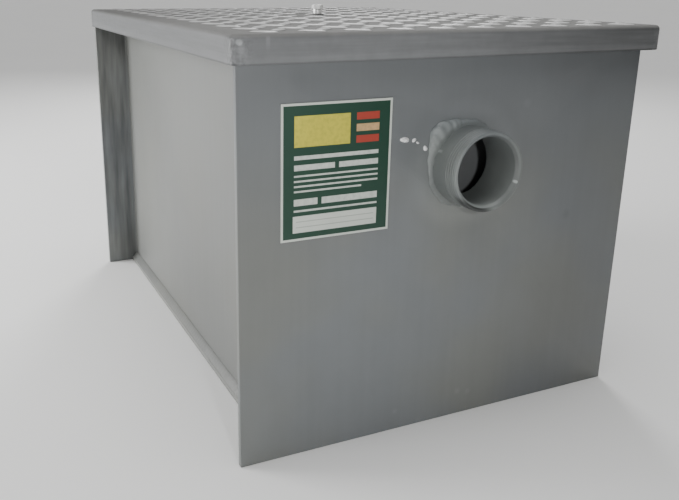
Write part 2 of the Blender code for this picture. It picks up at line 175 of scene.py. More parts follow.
class Finish:
    """A material that is being made: its nodes, and the shader that they feed."""

    def __init__(self, name, constants):
        self.material = bpy.data.materials.new(name)
        self.material.use_nodes = True
        self.nodes = self.material.node_tree.nodes
        self.links = self.material.node_tree.links
        self.shader = self.nodes["Principled BSDF"]
        for socket, value in constants.items():
            self.shader.inputs[socket].default_value = value

    def node(self, kind, settings=None, inputs=None, output=0):
        """Adds a node: first its settings, then the values or wires of its inputs. Returns one of its
        outputs."""
        made = self.nodes.new(kind)
        for setting, value in (settings or {}).items():
            setattr(made, setting, value)
        for socket, value in (inputs or {}).items():
            self.feed(made.inputs[socket], value)
        return Wire(self, made.outputs[output])

    def feed(self, socket, value):
        if isinstance(value, Wire):
            self.links.new(value.socket, socket)
        else:
            socket.default_value = value

    def set(self, socket, value):
        self.feed(self.shader.inputs[socket], value)

    def position(self):
        return self.node("ShaderNodeTexCoord", output="Object")

    def axes(self):
        """X, Y and Z of the point that is shaded, in metres."""
        split = self.node("ShaderNodeSeparateXYZ", {}, {"Vector": self.position()})
        outputs = split.socket.node.outputs
        return Wire(self, outputs["X"]), Wire(self, outputs["Y"]), Wire(self, outputs["Z"])

    def noise(self, size, detail=3.0, stretch=(1.0, 1.0, 1.0), roughness=0.5):
        """Clouds of about that size in metres, drawn out along an axis whose stretch is under 1."""
        scaled = self.node("ShaderNodeMapping", {}, {"Vector": self.position(), "Scale": stretch})
        inputs = {"Vector": scaled, "Scale": 1.0 / size, "Detail": detail, "Roughness": roughness}
        return self.node("ShaderNodeTexNoise", {}, inputs, output="Fac")

    def mix(self, factor, a, b, blend="MIX"):
        """Colour a where the factor is 0 and b where it is 1, or another blend of the two."""
        settings = {"data_type": "RGBA", "blend_type": blend}
        inputs = {MIX_FACTOR: factor, MIX_A: a, MIX_B: b}
        return self.node("ShaderNodeMix", settings, inputs, output=MIX_RESULT)

    def shaded(self, colour, shade):
        """The colour times a grey wire."""
        return self.mix(1.0, colour, shade, blend="MULTIPLY")

    def bump(self, height, distance):
        """Relief: height is a wire from 0 to 1, distance its full depth in metres."""
        inputs = {"Height": height, "Distance": distance, "Strength": 1.0}
        return self.node("ShaderNodeBump", {}, inputs, output="Normal")


def opaque(red, green, blue):
    return (red, green, blue, 1.0)


# %% [markdown]
# ## Grey enamel on the welded shell
#
# The shell is sprayed with a satin grey enamel. From a step away it is even, with faint clouds where the
# spray passed, slight vertical runs and a fine orange peel. An image texture could hold all that, but noise
# at three sizes does it at any scale: clouds in colour and gloss, runs drawn out along Z, and peel as
# relief only.

# %% Make the enamel
ENAMEL_GREY = (0.190, 0.194, 0.191)
CLOUD_SIZE = 0.22
MOTTLE_SIZE = 0.035
RUN_WIDTH = 0.009
STREAK_WIDTH = 0.010
PEEL_SIZE = 0.0022
PEEL_DEPTH = 0.00006
SHEET_WAVE_SIZE = 0.12
SHEET_WAVE_DEPTH = 0.0012
DRIFT_SIZE = 0.16
COOL_SHARES = (0.955, 1.0, 1.055)
WARM_SHARES = (0.995, 1.015, 0.975)


def enamel(name, colour, runs=0.05, clouds=0.10, gloss=0.42, tone=None, cool_from=None, warm=False):
    """Satin paint: cloudy in colour and gloss, with vertical runs, orange peel and the sheet's slow waves.
    The hue drifts a little between cool and warm. It can stay cool above a height, or stay warm. A tone is
    a formula that darkens or lightens places of one plate."""
    finish = Finish(name, {"Specular IOR Level": 0.5})
    cloud = finish.noise(CLOUD_SIZE, detail=4.0)
    mottle = finish.noise(MOTTLE_SIZE, detail=4.0)
    run = finish.noise(RUN_WIDTH, stretch=(1.0, 1.0, 0.035))
    drift = finish.noise(DRIFT_SIZE, detail=2.0).ramp(0.35, 0.65)
    if cool_from:
        drift = drift * finish.axes()[2].ramp(cool_from + 0.16, cool_from)
    if warm:
        drift = 0.7 + drift * 0.3
    cool_hue = opaque(*(value * share for value, share in zip(colour, COOL_SHARES)))
    warm_hue = opaque(*(value * share for value, share in zip(colour, WARM_SHARES)))
    shade = 1.0 + (cloud - 0.5) * clouds * 2 + (mottle - 0.5) * clouds + (run - 0.5) * runs * 2
    if tone:
        shade = shade * tone(finish)
    finish.set("Base Color", finish.shaded(finish.mix(drift, cool_hue, warm_hue), shade))
    finish.set("Roughness", gloss + (cloud - 0.5) * 0.16 + (mottle - 0.5) * 0.10)
    wave = finish.noise(SHEET_WAVE_SIZE, detail=1.0)
    peel = finish.noise(PEEL_SIZE, detail=2.0)
    relief = wave * SHEET_WAVE_DEPTH + peel * PEEL_DEPTH
    finish.set("Normal", finish.bump(relief, 1.0))
    return finish


def inlet_tone(finish):
    """Painted shade below the cover's lip, a paler ring round the weld, painted light in the middle, painted
    shade towards the right side and round one lower corner, and a few small blemishes."""
    x, y, z = finish.axes()
    # Painted shade below the cover's lip.
    under_lip = z.ramp(cover_low.z - 0.075, cover_low.z - 0.004)
    off_axis = distance(x - pipe_axis_x, z - pipe_axis_z)
    halo = off_axis.ramp(HALO_RADIUS, WELD_RADIUS)
    # Painted light in the middle of the plate.
    middle = distance(x - LIT_MIDDLE_X, z - LIT_MIDDLE_Z).ramp(0.24, 0.03)
    # Painted shade towards the right and round the lower right corner; the real blemishes below are added to
    # it.
    shaded_corner = distance(x - SHADED_CORNER_X, z - SHADED_CORNER_Z).ramp(0.14, 0.03)
    shade_and_blemishes = 0.965 - x.ramp(-0.04, 0.17) * 0.17 - shaded_corner * 0.05
    for across, up, radius, change in BLEMISHES:
        shade_and_blemishes = shade_and_blemishes + distance(x - across / 1000, z - up / 1000).ramp(radius / 1000, 0.0005) * change
    return (1.0 - under_lip * 0.17) * (1.0 + halo * 0.20) * (1.0 + middle * 0.13) * shade_and_blemishes


def stub_tone(finish):
    """Painted shade under the pipe's lower left, inside the bore and on the right of the mouth's end, a
    darker top along the pipe, painted light near the mouth on its lower left and on the heap of weld, and
    painted glints on the weld at the upper left and on the mouth at the lower right."""
    x, y, z = finish.axes()
    left, below = pipe_axis_x - x, pipe_axis_z - z
    radius = distance(left, below)
    off_plate = y.size() - plate_face
    beyond_bore = radius.ramp(PIPE_BORE_RADIUS + 0.0016, PIPE_BORE_RADIUS + 0.0024)
    on_pipe = radius.ramp(PIPE_RADIUS + 0.006, PIPE_RADIUS + 0.001)
    to_mouth = (pipe_mouth_y - y.size()).at_least(0.0)
    # Painted shade under the pipe's lower left.
    underside_shade = (below * 0.93 + left * 0.37).ramp(0.029, 0.037) * to_mouth.ramp(0.014, 0.004)
    underside_shade = (underside_shade + (below * 0.8 + left * 0.6).ramp(0.024, 0.038) * 0.22).clipped() * beyond_bore * on_pipe
    # Painted shade inside the bore, darkest towards the top.
    bore_shade = (1.0 - beyond_bore) * below.ramp(0.020, -0.016)
    # Painted light on the pipe's outside near the mouth and just inside it, on the lower left.
    rim = to_mouth.ramp(0.0065, 0.0035) * (left + below * 0.7).ramp(0.004, 0.032) * beyond_bore * 0.8
    low_left = (below * 0.9 + left * 0.4).ramp(0.018, 0.029)
    sill = (1.0 - beyond_bore) * to_mouth.ramp(0.016, 0.004) * low_left * 1.5
    # Painted light on the heap of weld at the upper left.
    heap = (1.0 - on_pipe * off_plate.ramp(0.001, 0.003)) * (left - below).ramp(0.020, 0.050) * beyond_bore
    # A painted glint on the weld at the upper left.
    weld_glint = distance(left + WELD_GLINT_X, below + WELD_GLINT_Z).ramp(0.0028, 0.0012)
    weld_glint = weld_glint * off_plate.ramp(0.012, 0.008)
    # A painted glint on the mouth's end at the lower right.
    rim_glint = distance(left + RIM_GLINT_X, below + RIM_GLINT_Z).ramp(0.0021, 0.0007) * to_mouth.ramp(0.006, 0.003)
    # Painted shade on the right of the mouth's end.
    mouth_right_shade = to_mouth.ramp(0.0024, 0.0010) * left.ramp(-0.005, -0.025) * 0.13
    paler = (rim + sill) * (1.0 - underside_shade) * 0.40 + heap * 0.42 + weld_glint * 0.9 + rim_glint * 1.6 - mouth_right_shade
    dim_top = below.ramp(-0.018, -0.038) * on_pipe * off_plate.ramp(0.004, 0.010)
    return (1.0 - underside_shade * 0.74) * (1.0 - bore_shade * 0.38) * (1.0 - dim_top * 0.16) * (1.0 + paler)


def flange_tone(finish):
    """The outlet plate's inner face carries painted shade, darker overall and darker still towards the top
    under the cover, and is streaked by drips."""
    x, y, z = finish.axes()
    inner_face = y.ramp(plate_face - 0.002, plate_face - 0.005)
    streak = finish.noise(STREAK_WIDTH, detail=3.0, stretch=(1.0, 1.0, 0.09))
    # Painted shade on the inner face, darker overall and more so towards the top under the cover; the streaks
    # are real.
    darker = 0.14 + z.ramp(cover_low.z - 0.20, cover_low.z) * 0.20 + (0.5 - streak) * 1.5
    darker = darker + z.ramp(cover_low.z - 0.06, cover_low.z - 0.01) * 0.14
    return 1.0 - darker * inner_face


def wall_tone(finish):
    """Painted light towards the rear at mid height, and darker in the middle."""
    x, y, z = finish.axes()
    # Painted light towards the rear of the wall at mid height.
    painted_light_rear = distance(y - LIT_WALL_Y, z - LIT_WALL_Z).ramp(0.24, 0.02)
    darker_middle = distance(y - DARK_WALL_Y, z - DARK_WALL_Z).ramp(0.17, 0.02)
    return 1.0 + painted_light_rear * 0.34 - darker_middle * 0.10


def distance(across, up):
    return (across * across + up * up) ** 0.5


nipple_low, nipple_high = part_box("inlet_nipple")
pipe_axis_x = (nipple_low.x + nipple_high.x) / 2
pipe_axis_z = (nipple_low.z + nipple_high.z) / 2
pipe_mouth_y = -nipple_low.y
PIPE_RADIUS = 0.039
PIPE_WALL = 0.0062
plate_face = -plate_low.y
PIPE_BORE_RADIUS = PIPE_RADIUS - PIPE_WALL
WELD_RADIUS = (nipple_high.x - nipple_low.x) / 2
HALO_RADIUS = WELD_RADIUS + 0.022
WELD_GLINT_X = -0.0335
WELD_GLINT_Z = 0.0165
RIM_GLINT_X = 0.0325
RIM_GLINT_Z = -0.0122

# Blemishes on the inlet plate: place across and up and radius in millimetres, and how much paler each is
BLEMISHES = [
    (12.5, 26.8, 5.0, 0.13),
    (26.0, 23.5, 5.0, 0.10),
    (-65.0, 20.5, 4.5, 0.12),
    (138.5, 209.5, 8.0, -0.10),
    (72.5, 332.0, 7.0, 0.08),
]
LIT_MIDDLE_X = -0.03
LIT_MIDDLE_Z = 0.12
SHADED_CORNER_X = 0.16
SHADED_CORNER_Z = 0.06
LIT_WALL_Y = 0.27
LIT_WALL_Z = 0.14
DARK_WALL_Y = -0.03
DARK_WALL_Z = 0.14
PIPE_GREY = (0.184, 0.195, 0.196)
WALL_GREY = (0.193, 0.193, 0.188)
SLOPE_GREY = (0.176, 0.176, 0.171)
# The floor plate's grey is paler than the shell's: painted light that makes its ledge as pale as the wall.
LEDGE_PAINTED_LIGHT_GREY = (0.235, 0.235, 0.229)
shell_enamel = enamel("grey_enamel", ENAMEL_GREY)
wall_enamel = enamel("wall_enamel", WALL_GREY, tone=wall_tone, warm=True)
plate_enamel = enamel("inlet_plate_enamel", ENAMEL_GREY, tone=inlet_tone, cool_from=0.2)
stub_enamel = enamel("pipe_enamel", PIPE_GREY, clouds=0.16, tone=stub_tone)
slope_enamel = enamel("slope_enamel", SLOPE_GREY, warm=True)
ledge_painted_light_enamel = enamel("ledge_painted_light_enamel", LEDGE_PAINTED_LIGHT_GREY, warm=True)
flange_enamel = enamel("streaked_shaded_enamel", ENAMEL_GREY, tone=flange_tone)
inner_enamel = enamel("inner_enamel", (0.25, 0.255, 0.27), clouds=0.2, gloss=0.55)
enamels = (shell_enamel, plate_enamel, stub_enamel, flange_enamel)
print("enamels:", [finish.material.name for finish in enamels])

# %% [markdown]
# ## Tread plate, rubbed on its lugs
#
# Feet and tools rub the lugs, so the paint on their crests is paler and has a sheen, which a coat gives,
# while dust darkens and dulls the ground between them. The height above the sheet says which is which, with
# some noise so that no two lugs wear alike. The crests' pale colour is partly painted light, the lugs of one
# slant carry painted shade, and so does the lip.

# %% Make the tread finish
LUG_HEIGHT = 0.0016
SHEET_TOP = cover_high.z - LUG_HEIGHT
TREAD_GROUND = (0.24, 0.24, 0.233)
# The crests' near white is wear and also painted light.
TREAD_WORN_PAINTED_LIGHT = (0.96, 0.96, 0.95)
CORNER_LUMP = 0.0022
LIP_GREY = (0.186, 0.192, 0.197)
LIP_DOT_X = -0.2327
LIP_DOT_Z = 0.3989
LIP_STROKE_X = -0.2079


def tread_enamel(name):
    """Rubbed lugs, pale from wear and paler still as painted light, over darker ground. Lugs of one slant are
    less pale, painted shade for how the light falls across them, and all have a sheen. The lip has streaks
    along its fold, a paler lower edge with a painted shadow line at its very bottom, painted shade that
    darkens it towards the right and on its left face and, beside one corner, a dot and a stroke of the
    grinder. Its corners have the lumps and bare patches that dressing a weld leaves. The top is darker
    towards the back and the left."""
    finish = Finish(name, {"Specular IOR Level": 0.5, "Coat Roughness": 0.16})
    x, y, height = finish.axes()
    cloud = finish.noise(CLOUD_SIZE, detail=4.0)
    mottle = finish.noise(0.012, detail=4.0)
    level = (height - SHEET_TOP) / LUG_HEIGHT
    row = ((y + reach_y) / (LUG_PITCH / 2) + 0.5).whole() / 2
    # Painted shade: the lugs of one slant stay less pale, for how the light falls across them.
    slant_shade = 1.0 - row.math("FRACT", row).ramp(0.2, 0.3) * 0.34
    rubbed = (level + (mottle - 0.5) * 0.3).ramp(0.12, 0.62) * slant_shade
    on_top = height.ramp(SHEET_TOP - 0.004, SHEET_TOP - 0.0005)
    streak = finish.noise(0.003, detail=3.0, stretch=(0.05, 0.05, 1.0))
    low_edge = height.ramp(cover_low.z + 0.010, cover_low.z + 0.004)
    # Painted shade on the lip, darker towards the right and on the left face.
    painted_lip_shade = x.ramp(-0.10, cover_high.x) * 0.52 + x.ramp(cover_low.x + 0.008, cover_low.x + 0.001) * 0.26
    dot = distance(x - LIP_DOT_X, height - LIP_DOT_Z).ramp(0.0034, 0.0014)
    stroke = (x - LIP_STROKE_X).size().ramp(0.0026, 0.0008) * height.ramp(cover_low.z + 0.008, SHEET_TOP)
    marks = (dot * 0.9 + stroke * 0.3) * y.ramp(-0.310, -0.315)
    # A painted shadow line along the lip's lower edge.
    painted_shadow_line = height.ramp(cover_low.z + 0.0022, cover_low.z + 0.0008) * 0.34
    lip_shade = 0.97 + (streak - 0.5) * 0.30 + low_edge * 0.10 - painted_lip_shade - painted_shadow_line + marks
    lip = finish.shaded(opaque(*LIP_GREY), lip_shade)
    ground = finish.mix(on_top, lip, opaque(*TREAD_GROUND))
    worn = finish.mix(rubbed, ground, opaque(*TREAD_WORN_PAINTED_LIGHT))
    from_corner = (cover_high.x - x.size()).at_least(cover_high.y - y.size())
    dressed = from_corner.ramp(0.024, 0.006) * (1.0 - on_top)
    lump = finish.noise(0.007, detail=3.0)
    # The top is darker towards the back and the left.
    back_left_darker = y.ramp(-0.25, 0.20) * 0.36 + x.ramp(0.02, -0.2) * 0.15
    shade = 1.0 + (cloud - 0.5) * 0.2 + (mottle - 0.5) * 0.25
    shade = shade + dressed * (lump - 0.42) * 1.3 - back_left_darker * on_top
    finish.set("Base Color", finish.shaded(worn, shade))
    finish.set("Roughness", 0.46 + on_top * 0.22 - rubbed * 0.18 + (mottle - 0.5) * 0.15)
    finish.set("Coat Weight", rubbed * 0.9)
    peel = finish.noise(PEEL_SIZE, detail=2.0)
    finish.set("Normal", finish.bump(peel * PEEL_DEPTH + dressed * lump * CORNER_LUMP + streak * 0.0001, 1.0))
    return finish


# %% [markdown]
# ## Zinc and rubber
#
# The bolt and its collar are bright zinc, half mirror and half chalky white, slightly cloudy, with a fine
# grain. The washer and the gasket are black rubber, matt and grained too. The washer lies open and is a paler
# grey.

# %% Make the small finishes
def zinc_plate(name):
    finish = Finish(name, {"Metallic": 0.75})
    cloud = finish.noise(0.004, detail=3.0)
    finish.set("Base Color", finish.shaded(opaque(0.97, 0.97, 0.96), 0.9 + cloud * 0.2))
    finish.set("Roughness", 0.30 + cloud * 0.2)
    finish.set("Normal", finish.bump(finish.noise(0.0008) * 0.00003, 1.0))
    return finish


def black_rubber(name, shade):
    finish = Finish(name, {"Specular IOR Level": 0.4})
    grain = finish.noise(0.0015, detail=4.0)
    finish.set("Base Color", finish.shaded(opaque(shade, shade, shade), 0.7 + grain * 0.6))
    finish.set("Roughness", 0.7 + grain * 0.2)
    finish.set("Normal", finish.bump(grain * 0.00008, 1.0))
    return finish


zinc = zinc_plate("bright_zinc")
rubber = black_rubber("gasket_rubber", 0.035)
paler_rubber = black_rubber("paler_rubber", 0.17)

# %% [markdown]
# ## The data label
#
# A printed label is a few fields of colour. It could be an image, but its layout is only rectangles: a pale
# border, a green field, a straw title field with three tabs beside it, plain bars and a pale ruled panel.
# Each one is a formula on the distance from the label's lower left corner. All are plain, so nothing on the
# label names anything.

# %% Print the label
LAYOUT_WIDTH = 104.5
LAYOUT_HEIGHT = 122.0
LABEL_BORDER = 2.1
PRINT_WHITE = opaque(0.66, 0.70, 0.64)
PRINT_GREEN = opaque(0.007, 0.050, 0.028)
PRINT_STRAW = opaque(0.66, 0.60, 0.065)
PRINT_PEACH = opaque(0.66, 0.42, 0.20)
PRINT_BRICK = opaque(0.42, 0.05, 0.03)

# Fields in millimetres: left, right, bottom, top
TITLE_FIELD = (12.0, 64.0, 84.0, 111.0)
BRICK_TABS = [(70.0, 92.0, 104.5, 111.0), (70.0, 92.0, 84.0, 90.5)]
PEACH_TAB = (70.0, 92.0, 94.2, 100.8)
PANEL = (11.2, 92.0, 7.3, 22.6)
BARS = [
    (12.0, 92.0, 73.0, 76.5),
    (12.0, 50.0, 63.5, 68.5),
    (54.0, 92.0, 63.5, 68.5),
    (12.0, 92.0, 57.8, 59.4),
    (12.0, 92.0, 53.2, 54.8),
    (12.0, 92.0, 48.6, 50.2),
    (12.0, 76.0, 44.0, 45.6),
    (12.0, 34.0, 32.0, 38.0),
    (38.0, 92.0, 32.0, 38.0),
    (12.0, 92.0, 26.4, 28.2),
]


def inside(u, v, left, right, bottom, top, soft=0.35):
    """1 inside a rectangle and 0 outside, with an edge that is soft millimetres wide."""
    across = (u - left).at_most(right - u)
    along = (v - bottom).at_most(top - v)
    return (across.at_most(along) / soft + 0.5).clipped()


def label_print(name):
    finish = Finish(name, {"Specular IOR Level": 0.5})
    x, y, z = finish.axes()
    u = (x - label_low.x) * (LAYOUT_WIDTH / (label_high.x - label_low.x))
    v = (z - label_low.z) * (LAYOUT_HEIGHT / (label_high.z - label_low.z))
    field_right = LAYOUT_WIDTH - LABEL_BORDER
    field_top = LAYOUT_HEIGHT - LABEL_BORDER
    field = inside(u, v, LABEL_BORDER, field_right, LABEL_BORDER, field_top)
    worn = finish.noise(0.004, detail=3.0).ramp(0.30, 0.62) * 0.16 + 0.84
    bars = 0.0
    for bar in BARS:
        bars = inside(u, v, *bar).at_least(bars)
    rules = inside(u, v, 14.0, 89.0, 11.9, 12.7) + inside(u, v, 14.0, 89.0, 17.0, 17.8)
    white = (1.0 - field).at_least(bars * worn).at_least(inside(u, v, *PANEL) * (1.0 - rules * 0.35))
    brick = inside(u, v, *BRICK_TABS[0]) + inside(u, v, *BRICK_TABS[1])
    colour = finish.mix(white, PRINT_GREEN, PRINT_WHITE)
    colour = finish.mix(inside(u, v, *TITLE_FIELD) * worn, colour, PRINT_STRAW)
    colour = finish.mix(inside(u, v, *PEACH_TAB) * worn, colour, PRINT_PEACH)
    colour = finish.mix(brick, colour, PRINT_BRICK)
    haze = finish.noise(0.05, detail=4.0)
    finish.set("Base Color", finish.shaded(colour, 0.86 + haze * 0.28))
    finish.set("Roughness", 0.34 + haze * 0.2)
    finish.set("Normal", finish.bump(finish.noise(0.01) * 0.0001, 1.0))
    return finish


label_finish = label_print("printed_label")
print("label nodes:", len(label_finish.nodes))

# %% [markdown]
# ## Surfaces from arrays
#
# Every new piece below is a grid of points: a function of two parameters, worked out as one array. A piece
# can need several grids, such as the inside and the outside of a lip. They are gathered here, welded where
# their edges meet, and made into one closed mesh. The print shows open edges and volume: none open, and a
# volume above zero, mean that the piece is closed and its faces point outwards.

# %% Gather grids into one mesh
WELD_DISTANCE = 1e-6


class Surface:
    """Points and faces of one piece, gathered from grids and triangles."""

    def __init__(self):
        self.points = []
        self.faces = []
        self.count = 0

    def add(self, points, faces):
        self.points.append(np.asarray(points, float).reshape(-1, 3))
        self.faces.append(np.asarray(faces) + self.count)
        self.count += len(self.points[-1])

    def grid(self, points, wrap_rows=False, wrap_columns=False, flip=False):
        """points has the shape rows, columns, 3. The outside is where columns run to the right and rows run
        up."""
        rows, columns = points.shape[:2]
        row, column = np.meshgrid(
            np.arange(rows if wrap_rows else rows - 1),
            np.arange(columns if wrap_columns else columns - 1),
            indexing="ij",
        )
        row, column = row.ravel(), column.ravel()
        up, right = (row + 1) % rows, (column + 1) % columns
        corners = [row * columns + column, row * columns + right, up * columns + right, up * columns + column]
        self.add(points, np.stack(corners[::-1] if flip else corners, axis=1))

    def mesh(self, name, smooth_angle=35):
        points = np.concatenate(self.points)
        sizes = np.concatenate([np.full(len(faces), faces.shape[1]) for faces in self.faces])
        loops = np.concatenate([faces.ravel() for faces in self.faces])
        mesh = bpy.data.meshes.new(name)
        mesh.vertices.add(len(points))
        mesh.vertices.foreach_set("co", points.astype(np.float32).ravel())
        mesh.loops.add(len(loops))
        mesh.loops.foreach_set("vertex_index", loops.astype(np.int32))
        mesh.polygons.add(len(sizes))
        mesh.polygons.foreach_set("loop_start", (np.cumsum(sizes) - sizes).astype(np.int32))
        mesh.update(calc_edges=True)
        work = bmesh.new()
        work.from_mesh(mesh)
        bmesh.ops.remove_doubles(work, verts=work.verts, dist=WELD_DISTANCE)
        open_edges = sum(not edge.is_manifold for edge in work.edges)
        volume = work.calc_volume(signed=True)
        work.to_mesh(mesh)
        work.free()
        mesh.shade_smooth()
        mesh.set_sharp_from_angle(angle=math.radians(smooth_angle))
        triangles = sum(len(polygon.vertices) - 2 for polygon in mesh.polygons)
        print(f"{name}: {triangles} triangles, {open_edges} open edges, {volume * 1e6:.2f} cm3")
        return mesh


def add_piece(name, mesh, finish, replaced=()):
    """Puts a mesh into the scene as a piece that rides on the trap and stands for the nodes that it
    replaces."""
    mesh.materials.clear()
    mesh.materials.append(finish.material)
    piece = bpy.data.objects.new(name, mesh)
    bpy.context.scene.collection.objects.link(piece)
    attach(piece, "root")
    if replaced:
        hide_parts(*replaced)
    return piece


def stacked(*axes):
    """Arrays of X, Y and Z, broadcast to one shape, as one array of points."""
    return np.stack(np.broadcast_arrays(*axes), axis=-1)


# %% [markdown]
# ## The tread plate cover
#
# The cover is one sheet with staggered lens-shaped lugs, folded down on four sides. A fine grid over the
# whole sheet would need a million faces before a lug looked round. Instead each lug has its own small grid,
# rings that close in on its crest, and the flat ground between the lugs is filled with large triangles,
# which a flat face never shows. The fold is a profile carried round a rounded rectangle.

# %% Shape one lug
LUG_LENGTH = 0.0285
LUG_WIDTH = 0.0122
SOLID_LUG_WIDTH = 0.0105
LUG_PITCH = 0.0445
LUG_EDGE_MARGIN = 0.001
LUG_SIDE_SHIFT = 0.0185
LUG_SECTORS = 24
LUG_RINGS = np.array([1.10, 1.0, 0.93, 0.82, 0.65, 0.4, 0.0])
LUG_CREST = 0.36


def lug_shape():
    """One lug about the origin, drawn along X. It is a little wider than the solid's lug, whose lattice it
    keeps. Its outline is a pointed lens: X runs as a cosine and Y as a sine to the power 1.3. Rings shrink
    from the outline to a crest a third as long. The height is a flattened dome that meets the ground in a
    small fillet."""
    turn = np.linspace(0, 2 * math.pi, LUG_SECTORS, endpoint=False)
    ring = LUG_RINGS[:, None]
    lens = np.sign(np.sin(turn)) * np.abs(np.sin(turn)) ** 1.3
    x = LUG_LENGTH / 2 * np.cos(turn) * np.where(ring > 1, ring ** 0.5, LUG_CREST + (1 - LUG_CREST) * ring)
    y = LUG_WIDTH / 2 * lens * ring
    height = LUG_HEIGHT * (1 - np.clip(ring, 0, 1) ** 2.4) ** 0.8
    return x, y, np.broadcast_to(height, x.shape)


# %% Place the lugs on their lattice
COVER_BEND_RADIUS = 0.0045
COVER_THICKNESS = 0.0032
COVER_CORNER_RADIUS = 0.0105
half_width = (cover_high.x - cover_low.x) / 2
half_length = (cover_high.y - cover_low.y) / 2
bolt_axis = (plate_low.x + plate_high.x) / 2
washer_low, washer_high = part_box("seal_washer")
washer_radius = (washer_high.x - washer_low.x) / 2
half_lug = LUG_LENGTH / 2 * math.cos(math.radians(45))
keep_in = COVER_BEND_RADIUS + LUG_EDGE_MARGIN + half_lug + SOLID_LUG_WIDTH / 4
reach_x, reach_y = half_width - keep_in, half_length - keep_in


def lug_places():
    """Centres and angles of the lugs: rows half a pitch apart are staggered, and turn their lugs the other
    way. The first row lies against the bend at the inlet end."""
    gap = LUG_PITCH / 2
    rows, columns = int(2 * reach_y / gap), int(2 * reach_x / gap)
    row, column = np.meshgrid(np.arange(rows + 1), np.arange(-columns, columns + 1), indexing="ij")
    x, y = LUG_SIDE_SHIFT + column * gap, row * gap - reach_y
    clear = np.hypot(x - bolt_axis, y) > washer_radius + LUG_LENGTH / 2
    chosen = ((row + column) % 2 == 0) & (np.abs(x) <= reach_x) & clear
    angle = np.where(row % 2 == 0, -math.pi / 4, math.pi / 4)
    return x[chosen], y[chosen], angle[chosen]


def placed_lugs():
    """All lugs as one array of the shape lugs, rings, sectors, 3."""
    x, y, height = lug_shape()
    centre_x, centre_y, angle = (values[:, None, None] for values in lug_places())
    cos, sin = np.cos(angle), np.sin(angle)
    return stacked(centre_x + x * cos - y * sin, centre_y + x * sin + y * cos, SHEET_TOP + height)


# %% Fill the ground and fold the lip
CORNER_STEPS = 8
BEND_STEPS = 8
LIP_EDGE = 0.0006
BOLT_HOLE_RADIUS = 0.00475
HOLE_STEPS = 48
CORNER_ROOM = 0.00504


def rounded_rectangle(inset, corner, height):
    """A ring of points at one height, anticlockwise, that follows the cover's edge inset from it."""
    radius = max(corner - inset, 0.0003)
    turn = np.linspace(0, math.pi / 2, CORNER_STEPS + 1)
    side_x, side_y = half_width - inset - radius, half_length - inset - radius
    signs = [(1, 1), (-1, 1), (-1, -1), (1, -1)]
    quarters = [
        stacked(sx * side_x + radius * np.cos(turn + k * math.pi / 2),
                sy * side_y + radius * np.sin(turn + k * math.pi / 2), height)
        for k, (sx, sy) in enumerate(signs)
    ]
    return np.concatenate(quarters)


def lip_profile():
    """Inset, height and corner radius down the outside of the fold, round the lip's edge and up the
    inside."""
    bend, sheet, edge = COVER_BEND_RADIUS, COVER_THICKNESS, LIP_EDGE
    lip = cover_low.z
    quarter = np.linspace(0, math.pi / 2, BEND_STEPS + 1)
    outside, inside_corner = COVER_CORNER_RADIUS, COVER_THICKNESS + CORNER_ROOM
    rows = [(bend + 0.0004, SHEET_TOP, outside)]
    rows += [(bend * (1 - math.sin(t)), SHEET_TOP - bend * (1 - math.cos(t)), outside) for t in quarter]
    rows.append((0, SHEET_TOP - bend - 0.0004, outside))
    rows += [(edge * (1 - math.cos(t)), lip + edge * (1 - math.sin(t)), outside) for t in quarter[::2]]
    rows += [
        (sheet - edge * (1 - math.sin(t)), lip + edge * (1 - math.cos(t)), inside_corner)
        for t in quarter[::2]
    ]
    inner = bend - sheet
    rows += [
        (sheet + inner * (1 - math.cos(t)), SHEET_TOP - sheet - inner * (1 - math.sin(t)), inside_corner)
        for t in quarter[::2]
    ]
    return rows


def filled(outline, holes, height, facing_up):
    """The flat region inside an outline and outside its holes, as triangles of the outline's own points."""
    loops = [outline, *holes]
    points = np.concatenate(loops)[:, :2]
    starts = np.cumsum([0] + [len(loop) for loop in loops])
    indices = [list(range(starts[i], starts[i + 1])) for i in range(len(loops))]
    result = delaunay_2d_cdt([Vector(point) for point in points], [], indices, 1, 1e-7)
    source = [owners[0] for owners in result[3]]
    triangles = [[source[i] for i in face] for face, owner in zip(result[2], result[5]) if set(owner) == {0}]
    triangles = np.array(triangles)
    placed = np.column_stack([points, np.full(len(points), height)])
    return placed, triangles if facing_up else triangles[:, ::-1]


def cover_mesh():
    surface = Surface()
    turn = np.linspace(0, 2 * math.pi, HOLE_STEPS, endpoint=False)
    hole = stacked(bolt_axis + BOLT_HOLE_RADIUS * np.cos(turn), BOLT_HOLE_RADIUS * np.sin(turn), SHEET_TOP)
    lugs = placed_lugs()
    profile = lip_profile()
    rings = np.array([rounded_rectangle(inset, corner, height) for inset, height, corner in profile])
    surface.add(*filled(rings[0], [hole, *lugs[:, 0]], SHEET_TOP, True))
    for lug in lugs:
        surface.grid(lug, wrap_columns=True)
    surface.grid(rings, wrap_columns=True, flip=True)
    under = SHEET_TOP - COVER_THICKNESS
    surface.add(*filled(rings[-1], [hole], under, False))
    sunk = hole.copy()
    sunk[:, 2] = under
    surface.grid(np.array([hole, sunk]), wrap_columns=True)
    return surface.mesh("tread_cover")


tread = tread_enamel("rubbed_tread_enamel_painted_light")
add_piece("tread_cover", cover_mesh(), tread, ["cover"])

# %% [markdown]
# ## Threaded pipe stubs and their weld
#
# Each stub is a length of pipe with a taper thread, passed through the end plate and welded all round. A
# lathe would turn the pipe, so the surface is a profile turned round the pipe's axis. The weld isn't
# perfectly round: its leg swells and shrinks with each stroke of the torch. Letting the profile depend on
# the angle as well gives both the helix of the thread and the ripples of the weld on one closed surface.

